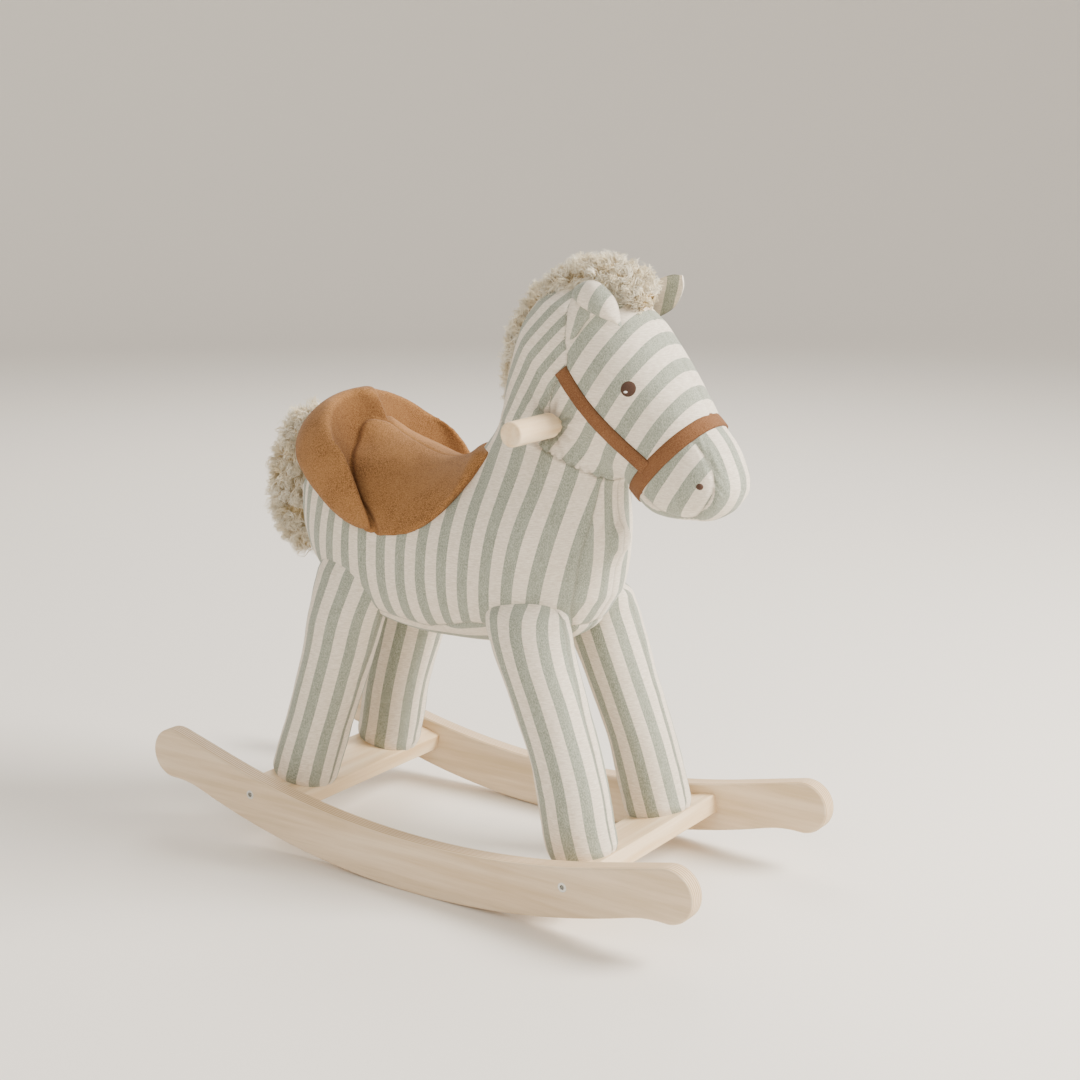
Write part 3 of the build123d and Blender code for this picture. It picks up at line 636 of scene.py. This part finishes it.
def make_head():
    """The head and upper neck. Gives back a search tree of its surface."""
    low, high = (8, -76, 380), (320, 76, 648)
    verts, faces, normal = soft_form(headpiece_field, low, high, 4.0, 6)
    x, y, z = verts.T
    along, up = head_coordinates(x, z)
    side = np.abs(y)
    crest = along - along_line(CREST_SEAM, up)
    crest = np.where((side > 12) | (along > 25), crest, -40)
    crest = np.where(along < 80, crest, 40)
    reach = np.clip(along - 172, 0, None) / 54
    height = np.where(up > 0, up / 40, -up / 38)
    nose = ((reach ** 2.6 + np.abs(height) ** 2.6) ** (1 / 2.6) - 1) * 40
    nose = np.where(along > 164, nose, -40)
    forehead = np.where((up > 0) & (along < 168) & (along > 20), side, NOT_A_SEAM)
    from_handle = np.hypot(x - HANDLE[0], z - HANDLE[1])
    angle = np.arctan2(z - HANDLE[1], x - HANDLE[0])
    near = side > 30
    handle = np.exp(-np.clip(from_handle - HANDLE_RADIUS, 0, None) / 8) * near
    pucker = np.exp(-np.abs(from_handle - HANDLE_RADIUS - 6) / 11) * near
    folds = np.sin(angle * 13) + 0.7 * np.sin(angle * 7 + 1)
    above_seam = z - seam_height(x)
    rim = np.exp(-np.abs(above_seam) / 8) * (along < 150)
    gather = rim * np.sin(x * 0.85 + 3 * ripple(verts, 18.0, 2.0)) * (0.5 + np.clip((x - 90) / 40, 0, 1))
    nose_gather = np.exp(-np.abs(nose - 2) / 5) * np.sin(up * 1.3 + along * 0.4)
    depth = 1.8 * bump_at(crest, 2.6) + 1.5 * bump_at(nose, 2.2) + 1.2 * bump_at(forehead, 2.2)
    depth += 5.0 * handle - 1.7 * pucker * folds - 1.2 * gather - 0.5 * nose_gather
    depth += 0.8 * np.clip(1.8 - above_seam, 0, 14)
    puff = 0.9 * ripple(verts, 55.0, 5.0) + 0.3 * ripple(verts, 20.0, 1.0)
    verts = verts + normal * (puff - depth)[:, None]
    ring_pitch = 28.4
    leaning = np.where(up > 0, 0.2 * up + 0.004 * np.clip(up - 45, 0, None) ** 2, 0.12 * up)
    rings = green_at((along + leaning) * STRIPE / ring_pitch, 34 * STRIPE / ring_pitch)
    crest_pitch = 18.6
    behind = along + 0.23 * np.minimum(up + 30, 0)
    on_crest = green_at(behind * STRIPE / crest_pitch, -1 * STRIPE / crest_pitch)
    lengthwise = green_at(side, 26.0)
    other = np.where(crest < 0, on_crest, lengthwise)
    use = np.where(along > 150, nose, -crest)
    # painted shade in the crest and nose seams, round the handle, in the folds and gathers, and along the
    # seam to the body
    painted_shade = 0.6 * bump_at(crest, 1.1) + 0.6 * bump_at(nose, 0.9) + 0.4 * handle
    painted_shade += 0.4 * pucker * np.clip(-folds - 0.5, 0, 1) + 0.35 * np.clip(-gather - 0.3, 0, 1)
    painted_shade += 0.7 * bump_at(above_seam, 1.2)
    made = piece(
        "head", verts, faces, "linen",
        cloth_attributes(rings, other, use, up, painted_shade),
    )
    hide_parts("head_side_right", "head_side_left", "head_gusset", "head_stuffing")
    return BVHTree.FromPolygons(verts.tolist(), faces.tolist())


def turned_from(turn, start):
    """The angle between two directions, from -pi to pi."""
    return np.arctan2(np.sin(turn - start), np.cos(turn - start))


def make_leg(end_name, side_name):
    """One stuffed leg as a tube of rings from the crossbar up into the torso."""
    end, side = ENDS[end_name], SIDES[side_name]
    table = FRONT_LEG if end > 0 else REAR_LEG
    around, rings = 72, 110
    heights = np.linspace(0, table[-1][0], rings)
    turns = np.linspace(0, 2 * pi, around, endpoint=False)
    shift_x, shift_y, half_x, half_y = cubic(table, heights).T
    h, t = np.meshgrid(heights, turns, indexing="ij")
    cx = LEG_X[end_name] - end * shift_x[:, None]
    cy = side * (LEG_Y - shift_y[:, None])
    x = cx + half_x[:, None] * np.cos(t)
    y = cy + half_y[:, None] * np.sin(t)
    foot_tilt = np.clip(1 - h / 60, 0, 1)
    z = LEG_FOOT[end_name] + h + end * np.tan(BAR_SLOPE) * (x - LEG_X[end_name]) * foot_tilt
    verts = np.stack([x, y, z], -1).reshape(-1, 3)
    faces = np.array(tube_faces(rings, around))
    normal = normals_of(verts, faces)
    nearer = np.minimum(np.abs(turned_from(t, 0)), np.abs(turned_from(t, pi)))
    seam = (nearer * half_x[:, None]).ravel()
    puff = 0.9 * ripple(verts, 42.0, 11.0 + end + side) + 0.4 * ripple(verts, 18.0, 4.0)
    wrinkle = 0.5 * ripple(verts * np.array([1, 1, 3.0]), 20.0, 6.0) * np.exp(-h.ravel() / 30)
    verts = verts + normal * (puff + wrinkle - 1.2 * bump_at(seam, 2.2))[:, None]
    facing = turned_from(t, side * pi / 2)
    radius = (half_x + half_y)[:, None] / 2
    stripe = (facing * radius * -side).ravel() + 4.0
    inner = (turned_from(t, -side * pi / 2) * radius).ravel()
    panel = np.where(np.abs(facing) > pi / 2, 1.0, -1.0).ravel()
    name = end_name + "_" + side_name
    # the leg seams get a line of painted shade
    made = piece(
        "leg_" + name, verts, faces, "linen",
        cloth_attributes(stripe, inner, panel, h.ravel(), 0.5 * bump_at(seam, 1.0)),
    )
    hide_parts("leg_cover_" + name, "leg_stuffing_" + name)


# ---- saddle --------------------------------------------------------------------------------
def saddle_clip(x, z):
    """Above zero outside the saddle's outline in the side view."""
    front_corner = np.where(x > 0, z - 453, -50)
    return blend_max(along_line(SADDLE_EDGE, x) - z, front_corner, 8)


def seat_piece_field(x, y, z):
    """Hide laid over the back, with a padded ridge that climbs the roll."""
    laid = horse_field(x, y, z) - 4.0
    top = along_line(SEAT_TOP, x)
    radius = 27 + 0.55 * np.clip(x + 132, 0, 110)
    ridge = np.hypot(y, z - (top - radius)) - radius
    padded = np.where(x < 30, blend_min(laid, ridge, 18), laid)
    hidden = -past_roll_seam(x, y, z) - 14
    return blend_max(padded, np.maximum(saddle_clip(x, z), hidden), 4)


def past_roll_seam(x, y, z):
    """Above zero in front of the roll's front face, which leans back above its seam."""
    side = np.abs(y)
    outline = [(row[0], row[1]) for row in ROLL_SEAM]
    heights = [(row[0], row[2]) for row in ROLL_SEAM]
    above = np.maximum(z - along_line(heights, side), -12)
    return x - along_line(outline, side) + 0.48 * above


def cantle_piece_field(x, y, z):
    dome = section_field(x, z, y, CANTLE, 2.35)
    front = blend_max(dome, past_roll_seam(x, y, z) * 0.9, 15)
    return blend_max(front, saddle_clip(x, z), 20)


def make_saddle():
    low, high = (-262, -112, 340), (66, 112, 516)
    for name, field, node in (
        ("saddle_seat_cover", seat_piece_field, "saddle_seat"),
        ("saddle_cantle_roll", cantle_piece_field, "saddle_cantle"),
    ):
        verts, faces, normal = soft_form(field, low, high, 3.5, 8)
        x, y, z = verts.T
        middle = np.where(z > 415, np.abs(y), NOT_A_SEAM)
        crease = bump_at(past_roll_seam(x, y, z), 4.0)
        depth = 1.2 * bump_at(middle, 2.0) + 3.0 * crease
        puff = 1.0 * ripple(verts, 48.0, 2.0) + 0.3 * ripple(verts, 14.0, 8.0)
        verts = verts + normal * (puff - depth)[:, None]
        # painted shade along the middle seam and in the crease at the roll's seam
        painted_shade = 0.45 * bump_at(middle, 0.8) + 0.5 * crease ** 2
        made = piece(
            name, verts, faces, "suede", {"thread": thread_attribute(z, painted_shade)},
        )
        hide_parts(node)


# ---- bridle, eyes, ears ----------------------------------------------------------------------
def head_point(along, up, y=0.0):
    return HEAD_BACK + HEAD_AXIS * along + HEAD_UP * up + np.array([0, y, 0])


def on_surface(tree, start, way):
    """Where a ray from outside towards the surface meets it, and the normal there."""
    place, normal, _, _ = tree.ray_cast(Vector(start), Vector(way))
    return np.array(place), np.array(normal)


def from_the_side(tree, middle, side):
    """The point of the head's side beyond a point of its middle plane."""
    return on_surface(tree, middle + np.array([0, side * 150, 0]), (0, -side, 0))


# section of a strap: share of the half width, share of the thickness, painted shade
STRAP_SECTION = [
    (-1, -0.9, 0.5), (-1, 0.55, 0.35), (-0.9, 0.95, 0.125), (-0.5, 1.0, 0), (0, 1.05, 0),
    (0.5, 1.0, 0), (0.9, 0.95, 0.125), (1, 0.55, 0.35), (1, -0.9, 0.5),
]
STRAP_WIDTH = 16.0
STRAP_THICKNESS = 1.9
STRAP_ROUNDS = 8                # of smoothing along the strap
NOSEBAND = 163.5                # along the head's axis


def strap(name, points, outward, thickness, node, closed=False):
    """A flat strap along points, with its face square to the outward directions."""
    points = np.array(points)
    outward = np.array(outward)
    for _ in range(STRAP_ROUNDS):
        smooth = (np.roll(points, -1, 0) + 2 * points + np.roll(points, 1, 0)) / 4
        if not closed:
            smooth[[0, -1]] = points[[0, -1]]
        points = smooth
    if closed:
        way = np.roll(points, -1, 0) - np.roll(points, 1, 0)
    else:
        way = np.gradient(points, axis=0)
    way /= np.linalg.norm(way, axis=1)[:, None]
    across = np.cross(way, outward)
    across /= np.linalg.norm(across, axis=1)[:, None]
    out = np.cross(across, way)
    rows = []
    for share, lift, _ in STRAP_SECTION:
        rows.append(points + across * share * STRAP_WIDTH / 2 + out * lift * thickness)
    verts = np.stack(rows, 1).reshape(-1, 3)
    count, size = len(points), len(STRAP_SECTION)
    faces = [(a, d, c, b) for a, b, c, d in tube_faces(count, size, closed)]
    if not closed:
        first = tuple(range(size))
        last = tuple((count - 1) * size + k for k in first)
        faces += [first, last[::-1]]
    # painted shade, darkest at the underside edges where the strap lies on the head
    painted_shade = np.tile([row[2] for row in STRAP_SECTION], count)
    attributes = {"thread": thread_attribute(painted_shade * 0, painted_shade)}
    made = piece(name, verts, faces, "strap", attributes)
    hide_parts(node)


def make_bridle(tree):
    centre = head_point(NOSEBAND, -3)
    points, outward = [], []
    for turn in np.linspace(0, 2 * pi, 120, endpoint=False):
        way = HEAD_UP * cos(turn) + np.array([0, sin(turn), 0])
        place, _ = on_surface(tree, centre + way * 120, -way)
        points.append(place)
        outward.append(way)
    strap("bridle_noseband", points, outward, STRAP_THICKNESS, "noseband", closed=True)
    for name, side in SIDES.items():
        points, outward = [], []
        for share in np.linspace(0, 1, 60):
            middle = head_point(160 - 127 * share, -10.5 + share - 5 * sin(pi * share))
            place, normal = from_the_side(tree, middle, side)
            points.append(place)
            outward.append(normal)
        thickness = STRAP_THICKNESS * 1.15
        strap("bridle_cheek_" + name, points, outward, thickness, "cheek_strap_" + name)


def disc(tree, along, up, side, half_x, half_z, height, rings=10, around=40):
    """A low domed oval laid on the head's side."""
    verts, faces = [], []
    for r in range(rings + 1):
        share = r / rings
        for a in range(around):
            turn = 2 * pi * a / around
            offset = np.array([half_x * share * cos(turn), 0, half_z * share * sin(turn)])
            place, normal = from_the_side(tree, head_point(along, up) + offset, side)
            lift = height * (1 - share ** 3) - 0.15 * share
            verts.append(place + normal * lift)
    for r in range(rings):
        for a in range(around):
            b = (a + 1) % around
            quad = (r * around + a, (r + 1) * around + a, (r + 1) * around + b, r * around + b)
            faces.append(quad if side > 0 else quad[::-1])
    return np.array(verts), np.array(faces)


def make_eyes(tree):
    for name, side in SIDES.items():
        verts, faces = disc(tree, 95, 32, side, 7.3, 7.8, 1.3)
        made = piece("eye_stitch_" + name, verts, faces, "eye")
        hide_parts("eye_" + name)
        verts, faces = disc(tree, 95.5, 28.6, side, 2.4, 1.5, 2.0, rings=4, around=16)
        piece("eye_glint_" + name, verts, faces, "highlight")
        verts, faces = disc(tree, 209.5, 18, side, 3.4, 3.4, 1.2, rings=6, around=24)
        made = piece("nostril_stitch_" + name, verts, faces, "eye")
        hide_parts("nostril_" + name)


# leaves of the ears: front and back edge from root to tip (x, y outwards, z)
EAR_LEAVES = {
    "ear_lobe_right": (
        [(136, 50, 618), (152, 57, 609), (169, 59, 603), (181, 54, 598), (189, 44, 592)],
        [
            (136, 50, 618), (142, 51, 629), (160, 52, 635), (175, 51, 629), (187, 49, 614),
            (189, 44, 592),
        ],
    ),
    "ear_base_right": (
        [(129, 50, 562), (143, 54, 578), (157, 56, 596), (168, 55, 605)],
        [(129, 50, 562), (129, 48, 589), (134, 48, 615), (150, 50, 618), (168, 55, 605)],
    ),
    "ear_lobe_left": (
        [(140, 54, 585), (168, 56, 590), (192, 50, 603), (205, 43, 622), (205, 40, 636)],
        [(134, 45, 606), (154, 47, 620), (176, 45, 630), (193, 42, 636), (205, 40, 636)],
    ),
}


def edge_curve(edge, shares):
    """Smooth curve through the points of an edge."""
    points = np.array(edge, float)
    return cubic(np.column_stack([np.linspace(0, 1, len(points)), points]), shares)


def make_ear_leaf(name, side, puff, green_centre, node=None):
    """Two cloth layers between two edges, cupped outwards."""
    front, back = EAR_LEAVES[name]
    across_count, up_count = 28, 48
    v = np.linspace(0, 1, up_count)
    u = np.linspace(0, 1, across_count)[None, :, None]
    sheet = edge_curve(front, v)[:, None] * (1 - u) + edge_curve(back, v)[:, None] * u
    middle = 1 - (2 * u[..., 0] - 1) ** 2
    swell = np.sin(pi * np.clip(v * 0.96 + 0.02, 0, 1))[:, None] ** 0.6
    layers = []
    for lift in (puff + 3.0, puff - 3.0):
        shifted = sheet.copy()
        shifted[..., 1] += lift * middle ** 0.6 * swell
        layers.append(shifted)
    verts = np.stack(layers).reshape(-1, 3)
    verts[:, 1] *= side
    size = across_count * up_count
    faces = []
    for layer in (0, 1):
        for i in range(up_count - 1):
            for j in range(across_count - 1):
                a = layer * size + i * across_count + j
                quad = (a, a + 1, a + across_count + 1, a + across_count)
                faces.append(quad if (layer == 0) == (side < 0) else quad[::-1])
    faces = np.array(faces)
    verts = verts + ripple(verts, 15.0, 12.0)[:, None] * 1.1 * np.array([0, 1.0, 0])
    lengthwise = (verts[:, 0] - 130) * 0.86 + (620 - verts[:, 2]) * 0.3
    stripes = green_at(lengthwise, green_centre)
    one_panel = np.full(len(verts), -1.0)
    rim = np.tile(np.abs(2 * u[0, :, 0] - 1), 2 * up_count) ** 14
    # painted shade along the front and back edges, where the two layers meet
    made = piece(
        name, verts, faces, "linen",
        cloth_attributes(stripes, stripes, one_panel, verts[:, 2], 0.5 * rim),
    )
    if node:
        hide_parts(node)


def make_ears():
    make_ear_leaf("ear_lobe_right", -1, 6.0, 11.0, "ear_right")
    make_ear_leaf("ear_base_right", -1, 2.5, 26.0)
    make_ear_leaf("ear_lobe_left", 1, 6.0, 24.0, "ear_left")


# ---- fur --------------------------------------------------------------------------------------
LOCK_SPREAD = 3.2               # of the strands round the root of their lock


def locks(name, roots, outward, length, seed, strands=13):
    """Curled locks of plush at the roots, each a bunch of tapering strands."""
    random = np.random.default_rng(seed)
    bunches = len(roots)
    way = outward + random.normal(0, 0.36, (bunches, 3))
    way /= np.linalg.norm(way, axis=1)[:, None]
    a = np.cross(way, random.normal(0, 1, (bunches, 3)))
    a /= np.linalg.norm(a, axis=1)[:, None]
    b = np.cross(way, a)
    reach = length * random.uniform(0.75, 1.2, bunches)
    curl = random.uniform(0.12, 0.28, bunches) * reach
    turns = random.uniform(0.5, 1.4, bunches) * 2 * pi
    start = random.uniform(0, 2 * pi, bunches)
    tone = random.uniform(0, 1, bunches)
    of_bunch = np.repeat(np.arange(bunches), strands)
    count = len(of_bunch)
    way, a, b = way[of_bunch], a[of_bunch], b[of_bunch]
    reach = reach[of_bunch] * random.uniform(0.7, 1.12, count)
    curl = curl[of_bunch] * random.uniform(0.7, 1.3, count)
    turns = turns[of_bunch] * random.uniform(0.85, 1.15, count)
    start = start[of_bunch] + random.normal(0, 0.35, count)
    spread_a = random.normal(0, LOCK_SPREAD, count)
    spread_b = random.normal(0, LOCK_SPREAD, count)
    thick = random.uniform(0.4, 0.8, count)
    segments, sides = 6, 3
    verts = np.zeros((count, segments + 1, sides, 3))
    shade = np.zeros((count, segments + 1, sides, 3))
    for s in range(segments + 1):
        t = s / segments
        swing = start + turns * t
        open_a = spread_a * (1 - 0.55 * t) + curl * t ** 0.8 * np.cos(swing)
        open_b = spread_b * (1 - 0.55 * t) + curl * t ** 0.8 * np.sin(swing)
        centre = roots[of_bunch] + way * (reach * t * (1 - 0.12 * t))[:, None]
        centre = centre + a * open_a[:, None] + b * open_b[:, None]
        width = thick * (1.2 - 0.9 * t)
        for k in range(sides):
            turn = 2 * pi * k / sides
            verts[:, s, k] = centre + a * (width * cos(turn))[:, None] + b * (width * sin(turn))[:, None]
        shade[:, s, :, 0] = t
        shade[:, s, :, 1] = tone[of_bunch][:, None]
    index = np.arange(count * (segments + 1) * sides).reshape(count, segments + 1, sides)
    faces = []
    for s in range(segments):
        for k in range(sides):
            m = (k + 1) % sides
            ring, above = index[:, s], index[:, s + 1]
            faces.append(np.stack([ring[:, k], ring[:, m], above[:, m], above[:, k]], 1))
    piece(
        name, verts.reshape(-1, 3), np.concatenate(faces), "plush",
        {"lock": shade.reshape(-1, 3)},
    )


# middle lines of the mane, from the neck's back over the poll to the forehead, and of
# the tail, downwards: x, z
MANE = [(52, 492), (50, 530), (60, 572), (84, 606), (124, 629), (164, 628), (192, 611)]
TAIL = [(-222, 452), (-240, 440), (-256, 405), (-262, 365), (-254, 325), (-243, 305)]


def along_points(points, share):
    """Where a smooth line through points is, at a share of its length."""
    points = np.array(points, float)
    lengths = np.concatenate([[0], np.cumsum(np.hypot(*np.diff(points, axis=0).T))])
    table = np.column_stack([lengths / lengths[-1], points])
    return cubic(table, np.asarray(share, float))


def mane_line(share):
    return along_points(MANE, share)


def roll_surface(line, tangent, radius_up, radius_side, turn):
    """Points and normals round a roll in the side plane."""
    normal = np.stack([-tangent[:, 1], tangent[:, 0]], 1)
    up = np.stack([normal[:, 0], 0 * normal[:, 0], normal[:, 1]], 1)
    centre = np.stack([line[:, 0], 0 * line[:, 0], line[:, 1]], 1)
    side = np.array([0, 1.0, 0])
    place = centre + up * (radius_up * np.cos(turn))[:, None] + side * (radius_side * np.sin(turn))[:, None]
    out = up * (np.cos(turn) / radius_up)[:, None] + side * (np.sin(turn) / radius_side)[:, None]
    return place, out / np.linalg.norm(out, axis=1)[:, None]


def closed_roll(name, line_at, radius_at, node, around=36, rings=60):
    """The dense pile under the locks, as one smooth roll."""
    share = np.linspace(0, 1, rings)
    line = line_at(share)
    tangent = np.gradient(line, axis=0)
    tangent /= np.linalg.norm(tangent, axis=1)[:, None]
    rows = []
    for a in range(around):
        turn = np.full(rings, 2 * pi * a / around)
        up, side = radius_at(share)
        place, _ = roll_surface(line, tangent, up, side, turn)
        rows.append(place)
    verts = np.stack(rows, 1).reshape(-1, 3)
    faces = np.array(tube_faces(rings, around))
    verts = verts + ripple(verts, 9.0, 3.0)[:, None] * 1.5 * normals_of(verts, faces)
    # near the root colour: partly the plush's own colour, partly painted shade under the locks
    shade = np.tile([0.15, 0.4, 0.0], (len(verts), 1))
    made = piece(name, verts, faces, "plush", {"lock": shade})
    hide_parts(node)


def mane_radius(share):
    size = np.clip(1 - (2 * share - 1) ** 6, 0.02, 1) ** 0.5
    return 13 * size, 19 * size


def tail_line(share):
    return along_points(TAIL, share)


def tail_radius(share):
    size = np.clip(1 - np.abs(2 * share - 1) ** 3, 0.03, 1) ** 0.6
    return 21 * size, 22 * size


def scatter(line_at, radius_at, count, seed, arc):
    """Roots and outward directions spread evenly over a roll."""
    random = np.random.default_rng(seed)
    share = random.uniform(0.01, 0.99, count)
    line = line_at(share)
    tangent = line_at(share + 0.004) - line_at(share - 0.004)
    tangent /= np.linalg.norm(tangent, axis=1)[:, None]
    turn = random.uniform(-arc, arc, count)
    up, side = radius_at(share)
    place, out = roll_surface(line, tangent, up, side, turn)
    return place, out


def make_fur():
    closed_roll("mane_pile", mane_line, mane_radius, "mane")
    closed_roll("tail_pile", tail_line, tail_radius, "tail")
    roots, out = scatter(mane_line, mane_radius, 1150, 21, 2.3)
    locks("mane_locks", roots, out, 16.0, 31)
    roots, out = scatter(tail_line, tail_radius, 760, 41, pi)
    down = out + np.array([0, 0, -0.35])
    locks("tail_locks", roots, down / np.linalg.norm(down, axis=1)[:, None], 18.0, 51)


# ---- wooden parts keep their CAD meshes ---------------------------------------------------------
# the first row whose beginning a node's name has gives its material
HARD_NODES = [
    ("steel", ("rocker_bolts", "barrel", "leg_bolts", "leg_inserts", "frame_screws", "handle_rod")),
    ("ply", ("rocker_",)),
    ("bar", ("crossbar_front", "crossbar_rear", "handle_")),
    ("inner", ("leg_post", "spine", "neck_board", "crossbar_dowels")),
]


def dress_frame():
    for name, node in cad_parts.items():
        fitting = [material for material, starts in HARD_NODES if name.startswith(starts)]
        if fitting:
            node.data.materials.clear()
            node.data.materials.append(MATERIALS[fitting[0]])


# ---- stage ----------------------------------------------------------------------------------------
FLOOR_RADIUS = 4.5              # m, of the flat part of the floor
WALL_RADIUS = 2.5               # m, of the sweep from the floor up


def make_floor():
    """A flat round floor that sweeps up all round into a wall."""
    around, steps = 96, 18
    profile = [(3.0, 0.0), (FLOOR_RADIUS, 0.0)]
    for step in range(1, steps + 1):
        turn = pi / 2 * step / steps
        across = FLOOR_RADIUS + WALL_RADIUS * sin(turn)
        profile.append((across, WALL_RADIUS - WALL_RADIUS * cos(turn)))
    verts = []
    for radius, height in profile:
        for a in range(around):
            turn = 2 * pi * a / around
            verts.append((radius * cos(turn), radius * sin(turn), height))
    faces = tube_faces(len(profile), around) + [tuple(range(around))]
    mesh = make_mesh("floor", verts, faces)
    for face in list(mesh.polygons)[:-1]:
        face.use_smooth = True
    s = Shader("pale_floor")
    mesh.materials.append(s.finish(rgb(240, 235, 227), 0.75, specular=0.2))
    floor = bpy.data.objects.new("floor", mesh)
    bpy.context.scene.collection.objects.link(floor)


def make_light():
    world = bpy.data.worlds.new("studio")
    world.use_nodes = True
    world.node_tree.nodes["Background"].inputs[0].default_value = rgb(240, 234, 226)
    world.node_tree.nodes["Background"].inputs[1].default_value = 0.75
    bpy.context.scene.world = world
    for name, place, size, power in (
        ("key", (2.2, 0.9, 2.0), 1.2, 215.0),
        ("fill", (0.6, -3.2, 2.4), 2.6, 60.0),
        ("back", (-1.6, 2.0, 2.4), 2.0, 60.0),
    ):
        light = bpy.data.lights.new(name, "AREA")
        light.size = size
        light.energy = power
        light.color = (1.0, 0.95, 0.88)
        lamp = bpy.data.objects.new(name, light)
        lamp.location = place
        aim = Vector((0.05, 0, 0.35)) - Vector(place)
        lamp.rotation_euler = aim.to_track_quat("-Z", "Y").to_euler()
        bpy.context.scene.collection.objects.link(lamp)


def make_camera():
    camera = bpy.data.cameras.new("camera")
    camera.lens = 63.6
    camera.sensor_width = 36.0
    made = bpy.data.objects.new("camera", camera)
    made.location = (1.1661, -1.5948, 0.7988)
    made.rotation_euler = (radians(90 - 12.961), 0, radians(34.361))
    bpy.context.scene.collection.objects.link(made)
    bpy.context.scene.camera = made


make_camera()
make_floor()
make_light()
dress_frame()
make_body()
head_tree = make_head()
for end_name in ENDS:
    for side_name in SIDES:
        make_leg(end_name, side_name)
make_saddle()
make_bridle(head_tree)
make_eyes(head_tree)
make_ears()
make_fur()
